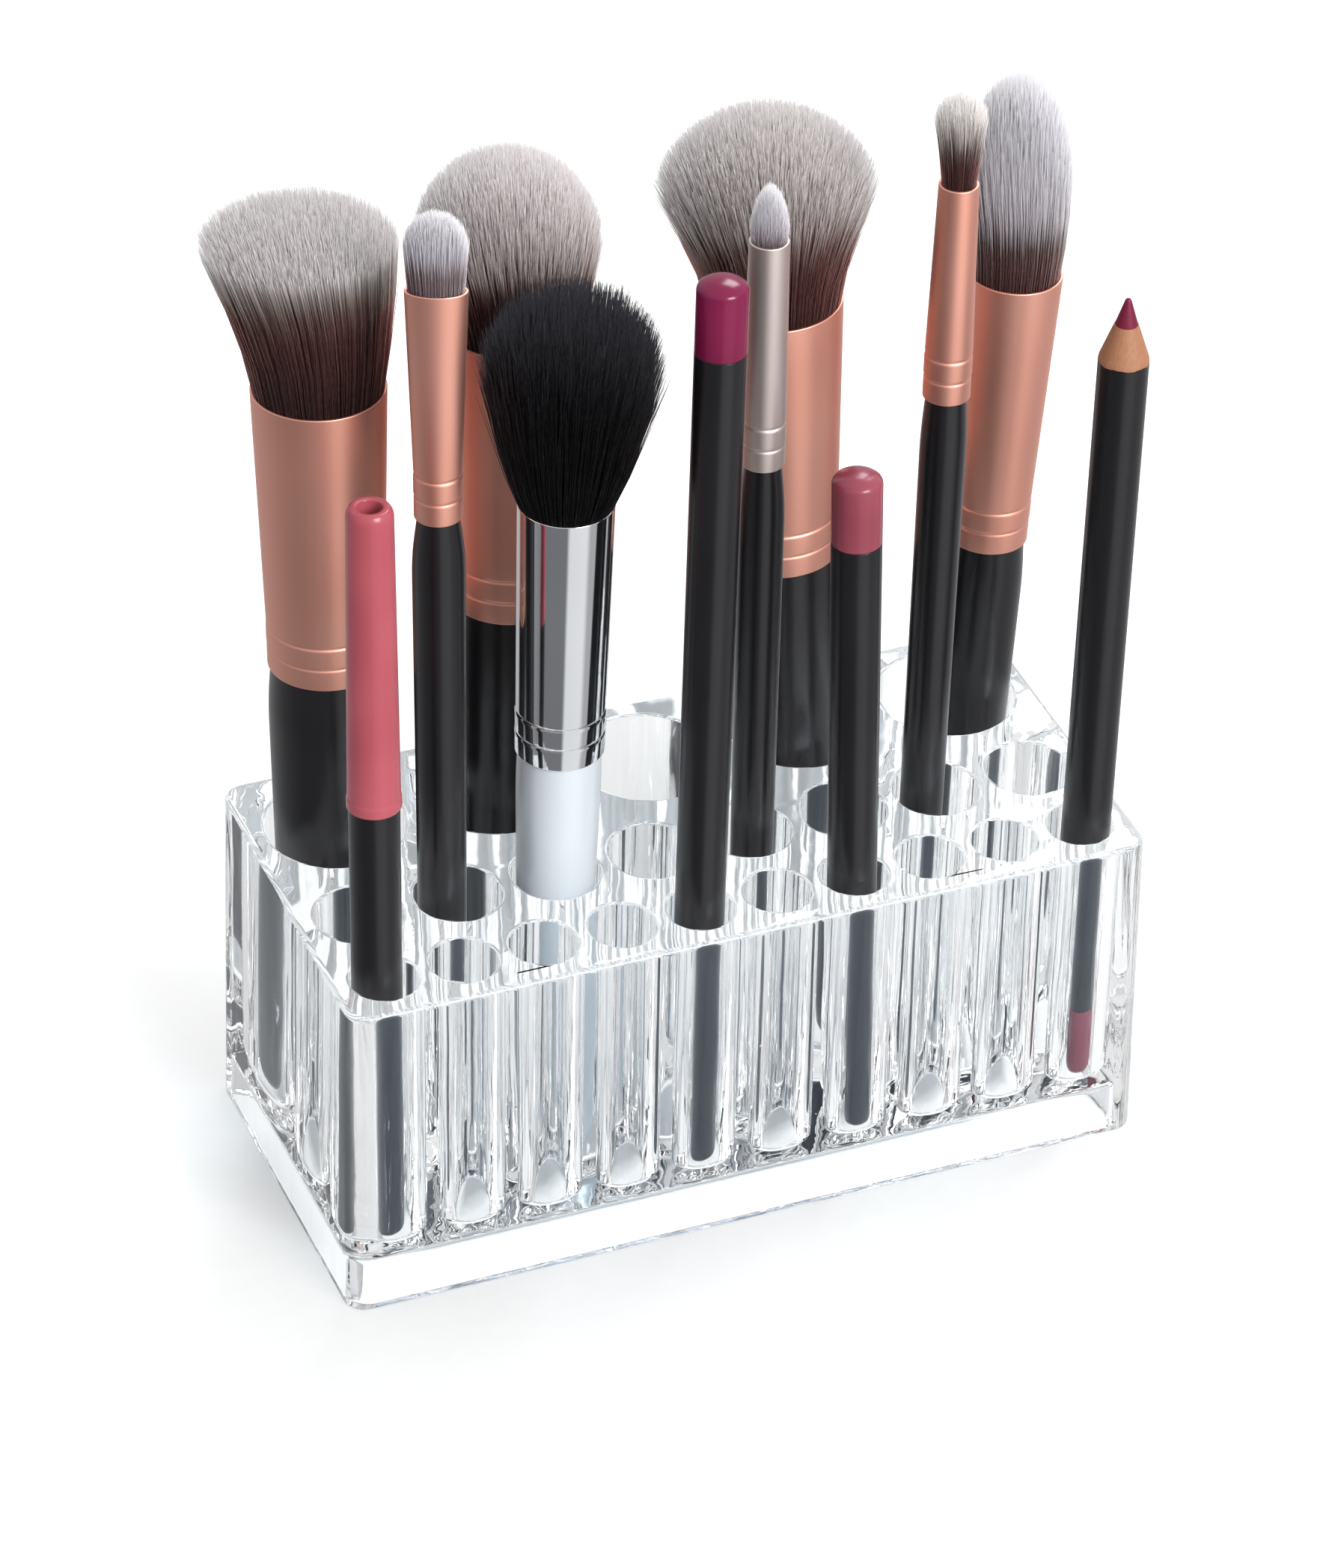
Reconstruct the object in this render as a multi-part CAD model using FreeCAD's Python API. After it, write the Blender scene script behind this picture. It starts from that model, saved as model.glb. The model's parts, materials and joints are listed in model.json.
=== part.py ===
import FreeCAD
import Part
import math
import os

V = FreeCAD.Vector

# Clear block: drafted walls, a top that rises to the rear, three rows of blind bores
# from above and an open recess from below.
block_w = 135.2
block_d = 63.3
block_front_h = 55.8
block_rear_h = 59.0
block_draft_share = 0.0146
block_corner_r = 3.5
top_chamfer = 0.8
skirt_wall = 3.0
recess_h = 8.5
recess_corner_r = 2.0
end_wall = 3.0
row_wall = 3.3
row_gap = 3.4

# How far the largest brush head hangs out behind the block's base.
rear_overhang = 3.9

ROWS = {
    "front": {"count": 10, "bore_d": 10.7, "floor_t": 1.5},
    "middle": {"count": 8, "bore_d": 13.9, "floor_t": 2.0},
    "rear": {"count": 5, "bore_d": 22.5, "floor_t": 2.5},
}

# Turned pieces are built in flat facets, so many round a thick, a thin and a soft one.
thick_facet_count = 32
thin_facet_count = 24
soft_facet_count = 16
thick_d = 10.0

# Brush construction shared by all eight brushes.
ferrule_wall = 0.5
groove_low_h = 3.7
groove_high_h = 7.5
groove_depth = 0.2
band_bulge = 0.2
tenon_l = 7.0
neck_l = 7.0
foot_chamfer = 1.8
hair_gap = 0.3
hair_root_l = 5.0
hair_root_share = 0.95
dome_ring_count = 3
crown_share = 0.3
flat_start_share = 0.4

# Each brush: its bore, where its foot stands off the bore's axis, how it leans, then its
# handle, ferrule and head from the foot up. flat_share is the mouth's depth over its width.
BRUSHES = {
    "kabuki_brush": {
        "row": "rear", "left_count": 0, "foot_x": 0.0, "foot_y": -0.3, "lean_shares": (-0.0133, 0.0055),
        "handle_l": 78.1, "foot_d": 17.2, "body_d": 18.5,
        "ferrule_l": 48.7, "ferrule_d": 18.3, "mouth_d": 20.6, "flat_share": 1.0, "turn_deg": 0.0,
        "head_l": 28.8, "head_d": 29.9, "belly_share": 0.885,
    },
    "shader_brush": {
        "row": "middle", "left_count": 1, "foot_x": -2.25, "foot_y": -0.15, "lean_shares": (-0.0073, 0.003),
        "handle_l": 115.9, "foot_d": 7.2, "body_d": 8.1,
        "ferrule_l": 38.2, "ferrule_d": 7.3, "mouth_d": 9.4, "flat_share": 0.55, "turn_deg": -23.0,
        "head_l": 13.2, "head_d": 9.7, "belly_share": 0.545,
    },
    "buffing_brush": {
        "row": "rear", "left_count": 1, "foot_x": 1.45, "foot_y": -1.7, "lean_shares": (0.0192, 0.0354),
        "handle_l": 82.0, "foot_d": 15.8, "body_d": 16.8,
        "ferrule_l": 47.0, "ferrule_d": 17.8, "mouth_d": 20.0, "flat_share": 1.0, "turn_deg": 0.0,
        "head_l": 28.4, "head_d": 28.9, "belly_share": 0.51,
    },
    "powder_brush": {
        "row": "middle", "left_count": 2, "foot_x": 0.06, "foot_y": 1.5, "lean_shares": (-0.0003, -0.0319),
        "handle_l": 70.7, "foot_d": 10.4, "body_d": 13.2,
        "ferrule_l": 44.9, "ferrule_d": 14.0, "mouth_d": 14.8, "flat_share": 1.0, "turn_deg": 0.0,
        "head_l": 36.2, "head_d": 27.1, "belly_share": 0.63,
    },
    "detail_brush": {
        "row": "middle", "left_count": 4, "foot_x": 0.97, "foot_y": -0.1, "lean_shares": (-0.0054, 0.0022),
        "handle_l": 114.0, "foot_d": 6.6, "body_d": 7.1,
        "ferrule_l": 38.3, "ferrule_d": 6.7, "mouth_d": 6.1, "flat_share": 1.0, "turn_deg": 0.0,
        "head_l": 9.7, "head_d": 6.1, "belly_share": 0.14,
    },
    "flared_brush": {
        "row": "rear", "left_count": 3, "foot_x": 0.15, "foot_y": -1.0, "lean_shares": (-0.0505, 0.0212),
        "handle_l": 81.3, "foot_d": 16.4, "body_d": 17.6,
        "ferrule_l": 45.2, "ferrule_d": 18.7, "mouth_d": 21.7, "flat_share": 1.0, "turn_deg": 0.0,
        "head_l": 31.0, "head_d": 34.4, "belly_share": 0.63,
    },
    "crease_brush": {
        "row": "middle", "left_count": 6, "foot_x": -2.65, "foot_y": 0.08, "lean_shares": (0.0039, -0.0016),
        "handle_l": 119.8, "foot_d": 6.7, "body_d": 7.2,
        "ferrule_l": 36.5, "ferrule_d": 7.3, "mouth_d": 6.1, "flat_share": 1.0, "turn_deg": 0.0,
        "head_l": 14.4, "head_d": 7.9, "belly_share": 0.764,
    },
    "foundation_brush": {
        "row": "rear", "left_count": 4, "foot_x": 2.95, "foot_y": 0.55, "lean_shares": (0.034, -0.0121),
        "handle_l": 76.7, "foot_d": 11.6, "body_d": 12.7,
        "ferrule_l": 48.3, "ferrule_d": 12.8, "mouth_d": 15.3, "flat_share": 1.0, "turn_deg": 0.0,
        "head_l": 33.6, "head_d": 16.6, "belly_share": 0.49,
    },
}

# Pencil construction shared by all four pencils.
pencil_d = 7.8
pencil_foot_chamfer = 0.8
end_l = 12.3
end_dome_h = 2.0
end_crown_share = 0.45
lead_d = 3.7
lead_l = 40.0
lead_tip_d = 0.5
point_l = 10.3

# Pull-off cap of the capped pencil, on a turned-down neck of its barrel.
cap_l = 52.2
cap_mouth_d = 8.4
cap_top_d = 7.1
cap_chamfer = 0.6
cap_bore_d = 6.7
cap_bore_l = 40.0
cap_gap = 0.1
cap_dimple_d = 2.9
cap_dimple_h = 1.0
barrel_neck_l = 12.0

PENCILS = {
    "magenta_pencil": {
        "left_count": 4, "foot_x": -0.34, "foot_y": 0.1, "lean_shares": (0.0054, -0.0022), "length": 158.0,
    },
    "mauve_pencil": {
        "left_count": 6, "foot_x": 0.9, "foot_y": -0.4, "lean_shares": (-0.026, 0.0107), "length": 119.7,
    },
    "sharpened_pencil": {
        "left_count": 9, "foot_x": 0.96, "foot_y": 0.0, "lean_shares": (0.0042, -0.0012), "length": 141.5,
    },
    "capped_pencil": {
        "left_count": 0, "foot_x": -0.85, "foot_y": 0.0, "lean_shares": (-0.0065, 0.0006), "length": 130.7,
    },
}

# The block's own lines: walls lean in by the draft, the top plane runs from the front edge
# to the rear edge.
block_y = -rear_overhang / 2
top_front_y = block_y - block_d / 2 + block_draft_share * block_front_h
top_rear_y = block_y + block_d / 2 - block_draft_share * block_rear_h
top_rise_share = (block_rear_h - block_front_h) / (top_rear_y - top_front_y)
front_r = ROWS["front"]["bore_d"] / 2
middle_r = ROWS["middle"]["bore_d"] / 2
rear_r = ROWS["rear"]["bore_d"] / 2
ROWS["front"]["y"] = top_front_y + row_wall + front_r
ROWS["middle"]["y"] = ROWS["front"]["y"] + front_r + row_gap + middle_r
ROWS["rear"]["y"] = top_rear_y - row_wall - rear_r
for row_size in ROWS.values():
    row_size["floor_z"] = recess_h + row_size["floor_t"]


def bore_x(row, bores_left):
    """Bores of a row share the top's width evenly, with the same wall at both ends. A bore is named
    by the number of bores to its left."""
    top_w = block_w - 2 * block_draft_share * block_rear_h
    run = top_w - 2 * end_wall - ROWS[row]["bore_d"]
    return run * (bores_left / (ROWS[row]["count"] - 1) - 1 / 2)


def round_at(radius, z):
    return radius, radius, z


def ring(half_w, half_d, z, sides):
    """Corner points of a level ring, round or oval."""
    turns = [2 * math.pi * i / sides for i in range(sides)]
    return [V(half_w * math.cos(turn), half_d * math.sin(turn), z) for turn in turns]


def flat_face(points):
    return Part.Face(Part.makePolygon(points + points[:1]))


def turned(outline, sides):
    """Solid about Z in flat facets, from its closed outline of (half width, half depth, height)
    corners. A level stretch of the outline is a disc or a flat ring, others are bands of facets."""
    faces = []
    for start, end in zip(outline, outline[1:] + outline[:1]):
        if start[0] == 0 and end[0] == 0:
            continue
        if start[2] == end[2]:
            discs = [flat_face(ring(*corner, sides)) for corner in (start, end) if corner[0] > 0]
            discs.sort(key=lambda disc: disc.Area)
            faces += discs[-1].cut(discs[:-1]).Faces if len(discs) > 1 else discs
            continue
        low = ring(*start, sides)
        high = ring(*end, sides)
        for i in range(sides):
            here = [low[i - 1], low[i], high[i], high[i - 1]]
            if start[0] * end[1] == start[1] * end[0]:
                faces.append(flat_face(here))
            else:
                faces += [flat_face(here[:3]), flat_face([here[0], here[2], here[3]])]
    shell = Part.Shell(faces)
    shell.sewShape()
    solid = Part.Solid(shell)
    if solid.Volume < 0:
        solid.reverse()
    return solid


def sides_for(diameter):
    return thick_facet_count if diameter > thick_d else thin_facet_count


def standing_foot(radius, chamfer):
    """Outline corners of a foot that stands on Z = 0, from the axis to the side."""
    return [round_at(0, 0), round_at(radius - chamfer, 0), round_at(radius, chamfer)]


def hexahedron(low_w, low_d, low_z, inset_share, front_z, rear_z):
    """Block with four walls leaning in by inset_share and a top that runs from front_z to rear_z."""
    def corner(sx, sy, z):
        inset = inset_share * (z - low_z)
        return V(sx * (low_w / 2 - inset), block_y + sy * (low_d / 2 - inset), z)

    signs = [(-1, -1), (1, -1), (1, 1), (-1, 1)]
    low = [corner(sx, sy, low_z) for sx, sy in signs]
    high = [corner(sx, sy, front_z if sy < 0 else rear_z) for sx, sy in signs]
    loops = [low[::-1], high]
    for i in range(len(signs)):
        j = (i + 1) % len(signs)
        loops.append([low[i], low[j], high[j], high[i]])
    faces = [Part.Face(Part.makePolygon(loop + loop[:1])) for loop in loops]
    shell = Part.Shell(faces)
    shell.sewShape()
    return Part.Solid(shell)


def upright_edges(solid):
    """Edges that join the bottom to the top."""
    span = solid.BoundBox.ZLength
    return [e for e in solid.Edges if e.BoundBox.ZLength > span / 2]


def holder_block():
    solid = hexahedron(block_w, block_d, 0, block_draft_share, block_front_h, block_rear_h)
    solid = solid.makeFillet(block_corner_r, upright_edges(solid))
    rim = [e for e in solid.Edges if e.BoundBox.ZMin > block_front_h / 2]
    solid = solid.makeChamfer(top_chamfer, rim)
    recess = hexahedron(
        block_w - 2 * skirt_wall, block_d - 2 * skirt_wall, 0, block_draft_share, recess_h, recess_h
    )
    recess = recess.makeFillet(recess_corner_r, upright_edges(recess))
    bores = []
    for row, size in ROWS.items():
        for bores_left in range(size["count"]):
            floor = V(bore_x(row, bores_left), size["y"], size["floor_z"])
            bores.append(Part.makeCylinder(size["bore_d"] / 2, block_rear_h, floor))
    return solid.cut(bores + [recess]).Solids[0]


def brush_handle(size):
    neck_r = size["ferrule_d"] / 2 - ferrule_wall
    length = size["handle_l"]
    outline = standing_foot(size["foot_d"] / 2, foot_chamfer) + [
        round_at(size["body_d"] / 2, length - neck_l),
        round_at(neck_r, length),
        round_at(neck_r, length + tenon_l),
        round_at(0, length + tenon_l),
    ]
    return turned(outline, sides_for(size["ferrule_d"]))


def brush_ferrule(size):
    """Tube on the handle's end: a swelled band between two grooves, then the long part up to the
    mouth, which stays round or blends from round to oval."""
    low_r = size["ferrule_d"] / 2
    mouth_r = size["mouth_d"] / 2
    mouth_half_d = mouth_r * size["flat_share"]
    length = size["ferrule_l"]
    outline = [
        round_at(low_r - ferrule_wall, 0),
        round_at(low_r, 0),
        round_at(low_r - groove_depth, groove_low_h),
        round_at(low_r + band_bulge, (groove_low_h + groove_high_h) / 2),
        round_at(low_r - groove_depth, groove_high_h),
        (mouth_r, mouth_half_d, length),
        (mouth_r - ferrule_wall, mouth_half_d - ferrule_wall, length),
        round_at(low_r - ferrule_wall, groove_high_h),
    ]
    if size["flat_share"] < 1:
        round_z = groove_high_h + flat_start_share * (length - groove_high_h)
        outline.insert(-1, round_at(low_r - ferrule_wall, round_z))
        outline.insert(-4, round_at(low_r, round_z))
    return turned(outline, sides_for(size["ferrule_d"]))


def brush_hair(size):
    """Outer form of the tuft: root in the ferrule, flank out to the belly and a dome."""
    inset = ferrule_wall + hair_gap
    root_r = size["mouth_d"] / 2 - inset
    root_half_d = size["mouth_d"] / 2 * size["flat_share"] - inset
    belly_r = size["head_d"] / 2
    belly_z = size["belly_share"] * size["head_l"]
    dome_h = size["head_l"] - belly_z
    outline = [
        round_at(0, -hair_root_l),
        (root_r * hair_root_share, root_half_d * hair_root_share, -hair_root_l),
        (root_r, root_half_d, hair_gap),
        (belly_r, belly_r * size["flat_share"], belly_z),
    ]
    for i in range(1, dome_ring_count):
        turn = math.pi / 2 * i / dome_ring_count
        radius = belly_r * math.cos(turn)
        outline.append((radius, radius * size["flat_share"], belly_z + dome_h * math.sin(turn)))
    crown_r = belly_r * crown_share
    outline.append((crown_r, crown_r * size["flat_share"], size["head_l"]))
    outline.append(round_at(0, size["head_l"]))
    return turned(outline, soft_facet_count)


def colour_end(way):
    """Domed coloured end of a pencil from its flat side at 0, upwards or downwards."""
    radius = pencil_d / 2
    outline = [
        round_at(0, 0),
        round_at(radius, 0),
        round_at(radius, way * (end_l - end_dome_h)),
        round_at(radius * end_crown_share, way * end_l),
        round_at(0, way * end_l),
    ]
    return turned(outline, thin_facet_count)


def pointed_barrel(low, shoulder_z, neck_d, cone_z, tip_z):
    """Barrel from its low outline corners, with a cone at its upper end and a core hole; its lead."""
    neck_r = neck_d / 2
    core_r = lead_d / 2
    slope_share = (neck_r - lead_tip_d / 2) / (tip_z - cone_z)
    cone_end_z = cone_z + (neck_r - core_r) / slope_share
    core_z = tip_z - lead_l
    outline = low + [round_at(pencil_d / 2, shoulder_z)]
    if neck_d < pencil_d:
        outline += [round_at(neck_r, shoulder_z), round_at(neck_r, cone_z)]
    outline += [round_at(core_r, cone_end_z), round_at(core_r, core_z), round_at(0, core_z)]
    lead_outline = [
        round_at(0, core_z),
        round_at(core_r, core_z),
        round_at(core_r, cone_end_z),
        round_at(lead_tip_d / 2, tip_z),
        round_at(0, tip_z),
    ]
    return turned(outline, thin_facet_count), turned(lead_outline, thin_facet_count)


def pencil_cap():
    """Tapered cap with a bore for the barrel's neck and a dimple in its top."""
    top_r = cap_top_d / 2
    bore_r = cap_bore_d / 2
    dimple_r = cap_dimple_d / 2
    outline = [
        round_at(bore_r, 0),
        round_at(cap_mouth_d / 2, 0),
        round_at(top_r, cap_l - cap_chamfer),
        round_at(top_r - cap_chamfer, cap_l),
        round_at(dimple_r, cap_l),
        round_at(dimple_r, cap_l - cap_dimple_h),
        round_at(0, cap_l - cap_dimple_h),
        round_at(0, cap_bore_l),
        round_at(bore_r, cap_bore_l),
    ]
    return turned(outline, thin_facet_count)


def standing(shape, row, tool, foot_flat_r, up):
    """Places a piece of a tool, built on Z, at height up on the tool's leaning axis. The edge of the
    foot's flat rests on the floor of its bore."""
    lean_x, lean_y = tool["lean_shares"]
    axis = V(lean_x, lean_y, 1)
    foot = V(
        bore_x(row, tool["left_count"]) + tool["foot_x"],
        ROWS[row]["y"] + tool["foot_y"],
        ROWS[row]["floor_z"] + math.sin(axis.getAngle(V(0, 0, 1))) * foot_flat_r,
    )
    leaned = FreeCAD.Placement(foot, FreeCAD.Rotation(V(0, 0, 1), axis))
    spun = FreeCAD.Placement(V(0, 0, up), FreeCAD.Rotation(V(0, 0, 1), tool.get("turn_deg", 0)))
    placed = shape.copy()
    placed.Placement = leaned.multiply(spun)
    return placed


def brush(name, size):
    flat_r = size["foot_d"] / 2 - foot_chamfer
    ferrule_z = size["handle_l"]
    pieces = {
        "handle": (brush_handle(size), 0),
        "ferrule": (brush_ferrule(size), ferrule_z),
        "hair": (brush_hair(size), ferrule_z + size["ferrule_l"]),
    }
    for piece, (shape, up) in pieces.items():
        yield name + "_" + piece, standing(shape, size["row"], size, flat_r, up)


def pencil(name, size):
    radius = pencil_d / 2
    length = size["length"]
    flat_r = radius - pencil_foot_chamfer
    low = standing_foot(radius, pencil_foot_chamfer)
    if name == "sharpened_pencil":
        cone_z = length - point_l
        upper = [round_at(0, end_l), round_at(radius, end_l)]
        barrel, lead = pointed_barrel(upper, cone_z, pencil_d, cone_z, length)
        pieces = {"barrel": (barrel, 0), "lead": (lead, 0), "end": (colour_end(-1), end_l)}
        flat_r = radius * end_crown_share
    elif name == "capped_pencil":
        shoulder_z = length - cap_l
        cone_z = shoulder_z + barrel_neck_l
        neck_d = cap_bore_d - 2 * cap_gap
        barrel, lead = pointed_barrel(low, shoulder_z, neck_d, cone_z, cone_z + point_l)
        pieces = {"barrel": (barrel, 0), "lead": (lead, 0), "cap": (pencil_cap(), shoulder_z)}
    else:
        side = length - end_l
        barrel = turned(low + [round_at(radius, side), round_at(0, side)], thin_facet_count)
        pieces = {"barrel": (barrel, 0), "end": (colour_end(1), side)}
    for piece, (shape, up) in pieces.items():
        yield name + "_" + piece, standing(shape, "front", size, flat_r, up)


nodes = {"holder_block": holder_block()}
for name, size in BRUSHES.items():
    nodes.update(brush(name, size))
for name, size in PENCILS.items():
    nodes.update(pencil(name, size))

os.makedirs("parts", exist_ok=True)
for node, shape in nodes.items():
    shape.exportStep("parts/" + node + ".step")
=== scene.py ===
import json
import math
import random

import bmesh
import bpy
import numpy as np
from mathutils import Matrix, Vector
from mathutils.geometry import delaunay_2d_cdt


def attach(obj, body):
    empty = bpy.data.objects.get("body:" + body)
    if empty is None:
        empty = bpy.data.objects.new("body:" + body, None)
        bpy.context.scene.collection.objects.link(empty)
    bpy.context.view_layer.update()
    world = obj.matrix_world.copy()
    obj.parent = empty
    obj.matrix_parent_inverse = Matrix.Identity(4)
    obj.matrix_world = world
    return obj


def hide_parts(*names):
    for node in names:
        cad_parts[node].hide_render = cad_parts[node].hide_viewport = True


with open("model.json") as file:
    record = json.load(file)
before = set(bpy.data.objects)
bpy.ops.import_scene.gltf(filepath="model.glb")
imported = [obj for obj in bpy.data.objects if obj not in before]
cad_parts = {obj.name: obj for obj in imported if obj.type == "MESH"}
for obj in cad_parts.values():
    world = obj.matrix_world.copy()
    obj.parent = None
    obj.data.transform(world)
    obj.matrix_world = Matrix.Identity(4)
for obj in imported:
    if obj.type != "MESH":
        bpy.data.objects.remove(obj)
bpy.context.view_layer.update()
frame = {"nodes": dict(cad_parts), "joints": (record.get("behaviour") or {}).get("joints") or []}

MM = 0.001
scene = bpy.context.scene

# Kinds of node that are used in many places, and the places of a Mix node's colour sockets.
MATH, MIX, RANGE = "ShaderNodeMath", "ShaderNodeMix", "ShaderNodeMapRange"
BUMP, RAMP, SPLIT = "ShaderNodeBump", "ShaderNodeValToRGB", "ShaderNodeSeparateXYZ"
COLOUR_A, COLOUR_B, COLOUR_OUT = 6, 7, 2
# Most of a noise pattern lies between these values.
NOISE_LOW, NOISE_HIGH = 0.3, 0.7


# Shading helpers


def linear(hex_colour):
    """Scene-linear colour of an sRGB hex value."""
    parts = [int(hex_colour[i:i + 2], 16) / 255 for i in (1, 3, 5)]
    return [c / 12.92 if c <= 0.04045 else ((c + 0.055) / 1.055) ** 2.4 for c in parts] + [1.0]


def feed(tree, made, inputs):
    """Fills a node's inputs, by name or in order, each from a value, a hex colour, a node or an output."""
    for key, value in inputs.items() if isinstance(inputs, dict) else enumerate(inputs):
        if isinstance(value, bpy.types.Node):
            value = value.outputs[0]
        if isinstance(value, bpy.types.NodeSocket):
            tree.links.new(value, made.inputs[key])
        elif isinstance(value, str) and value.startswith("#"):
            made.inputs[key].default_value = linear(value)
        else:
            made.inputs[key].default_value = value


def node(tree, kind, inputs=(), stops=(), **settings):
    """Adds a node with its settings, its inputs and, on a colour ramp, its (position, hex colour) stops."""
    made = tree.nodes.new(kind)
    for key, value in settings.items():
        setattr(made, key, value)
    if stops:
        elements = made.color_ramp.elements
        while len(elements) < len(stops):
            elements.new(1)
        for element, (position, colour) in zip(elements, stops):
            element.position = position
            element.color = linear(colour)
    feed(tree, made, inputs)
    return made


def patches(tree, size_mm, stretch=(1, 1, 1), detail=2.0):
    """Soft random patches of about size_mm on a piece, longer along an axis with a stretch above 1."""
    where = node(tree, "ShaderNodeTexCoord").outputs["Object"]
    scale = [1 / (size_mm * MM * s) for s in stretch]
    mapped = node(tree, "ShaderNodeMapping", {"Vector": where, "Scale": scale})
    pattern = {"Vector": mapped, "Scale": 1.0, "Detail": detail}
    return node(tree, "ShaderNodeTexNoise", pattern).outputs["Fac"]


def uneven(tree, value, by, size_mm, detail=2.0):
    """A value that wanders by this much to both sides over patches of about size_mm."""
    return node(tree, RANGE, {
        "Value": patches(tree, size_mm, detail=detail),
        "From Min": NOISE_LOW,
        "From Max": NOISE_HIGH,
        "To Min": value - by,
        "To Max": value + by,
    })


def toned(tree, low, high, size_mm, detail=2.0):
    """A colour that wanders between two tones over patches of about size_mm."""
    tones = {"Factor": patches(tree, size_mm, detail=detail), COLOUR_A: low, COLOUR_B: high}
    return node(tree, MIX, tones, data_type="RGBA").outputs[COLOUR_OUT]


def dimpled(tree, size_mm, depth_mm, detail=2.0):
    """Surface normal with shallow dimples of about size_mm."""
    height = patches(tree, size_mm, detail=detail)
    return node(tree, BUMP, {"Height": height, "Strength": 1.0, "Distance": depth_mm * MM})


def let_through(tree, shader, share, tint="#ffffff"):
    """Lets a share of the rays pass straight through a surface, tinted."""
    clear = node(tree, "ShaderNodeBsdfTransparent", {"Color": tint})
    mixed = node(tree, "ShaderNodeMixShader", [share, shader, clear])
    feed(tree, tree.nodes["Material Output"], {"Surface": mixed})


def material(name):
    """A new material with its node tree and its main shader."""
    made = bpy.data.materials.new(name)
    made.use_nodes = True
    return made, made.node_tree, made.node_tree.nodes["Principled BSDF"]


# Materials


def clear_acrylic():
    """Cast acrylic: clear and bright, with faint upright flow marks that bend what is seen through it."""
    made, tree, shader = material("clear_cast_acrylic")
    flow = patches(tree, 4.0, (1, 1, 40), 1.0)
    waves = patches(tree, 9.0, (1, 1, 2.5), 1.0)
    wave_weight = 2.0
    height = node(tree, MATH, [waves, wave_weight, flow], operation="MULTIPLY_ADD")
    feed(tree, shader, {
        "Base Color": toned(tree, "#e8eaeb", "#edeeef", 30.0),
        "Transmission Weight": 1.0,
        "IOR": 1.49,
        "Specular Tint": "#a9c3dc",
        "Roughness": uneven(tree, 0.015, 0.015, 8.0),
        "Normal": node(tree, BUMP, {"Height": height, "Strength": 1.0, "Distance": 0.12 * MM}),
    })
    rays = node(tree, "ShaderNodeLightPath").outputs
    soft_rays = node(tree, MATH, [rays["Is Shadow Ray"], rays["Is Diffuse Ray"]], operation="MAXIMUM")
    let_through(tree, shader, soft_rays, "#eef1f3")
    return made


def lacquer(name, low, high, roughness, metallic=0.0):
    """Sprayed lacquer on wood: a satin sheen with slight orange peel."""
    made, tree, shader = material(name)
    feed(tree, shader, {
        "Base Color": toned(tree, low, high, 12.0, 0.0),
        "Metallic": metallic,
        "Roughness": uneven(tree, roughness, 0.015, 15.0, 0.0),
        "Normal": dimpled(tree, 2.0, 0.008),
    })
    return made


def tube_metal(name, low, high, roughness, grain_mm):
    """Metal of a ferrule: an even sheen over a fine grain, which is coarser here than on the real one."""
    made, tree, shader = material(name)
    feed(tree, shader, {
        "Base Color": toned(tree, low, high, 14.0, 0.0),
        "Metallic": 1.0,
        "Roughness": uneven(tree, roughness, 0.015, 18.0, 0.0),
        "Normal": dimpled(tree, 0.7, grain_mm, 0.0),
    })
    return made


def plastic(name, low, high, roughness):
    """Moulded or dipped colour: an even gloss with slight cloudiness."""
    made, tree, shader = material(name)
    feed(tree, shader, {
        "Base Color": toned(tree, low, high, 8.0, 0.0),
        "Specular IOR Level": 0.3,
        "Roughness": uneven(tree, roughness, 0.02, 10.0, 0.0),
        "Normal": dimpled(tree, 2.5, 0.006, 0.0),
    })
    return made


def pointed_pencil(name, edge_mm):
    """Black lacquer that ends in a wavy line where the wood cone starts, edge_mm up the pencil."""
    made, tree, shader = material(name)
    waves_round, wave_mm = 6, 0.08
    lacquer_roughness, wood_roughness = 0.3, 0.6
    place = node(tree, SPLIT, [node(tree, "ShaderNodeUVMap")]).outputs
    angle = node(tree, MATH, [place["X"], waves_round * math.tau], operation="MULTIPLY")
    wave = node(tree, MATH, [angle], operation="SINE")
    wavy = node(tree, MATH, [wave, wave_mm, place["Y"]], operation="MULTIPLY_ADD")
    line = node(tree, MATH, [wavy, uneven(tree, 0.0, 0.12, 1.2)], operation="ADD")
    bare = node(tree, MATH, [line, edge_mm], operation="GREATER_THAN")
    fibres = patches(tree, 0.35, (1, 1, 14), 3.0)
    tones = {"Factor": fibres, COLOUR_A: "#83533a", COLOUR_B: "#9f704f"}
    wood = node(tree, MIX, tones, data_type="RGBA").outputs[COLOUR_OUT]
    coats = {"Factor": bare, COLOUR_A: toned(tree, "#0b0a0c", "#121014", 1.2), COLOUR_B: wood}
    roughness = [bare, wood_roughness - lacquer_roughness, lacquer_roughness]
    feed(tree, shader, {
        "Base Color": node(tree, MIX, coats, data_type="RGBA").outputs[COLOUR_OUT],
        "Roughness": node(tree, MATH, roughness, operation="MULTIPLY_ADD"),
        "Normal": node(tree, BUMP, {"Height": fibres, "Strength": 1.0, "Distance": 0.015 * MM}),
    })
    return made


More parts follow.
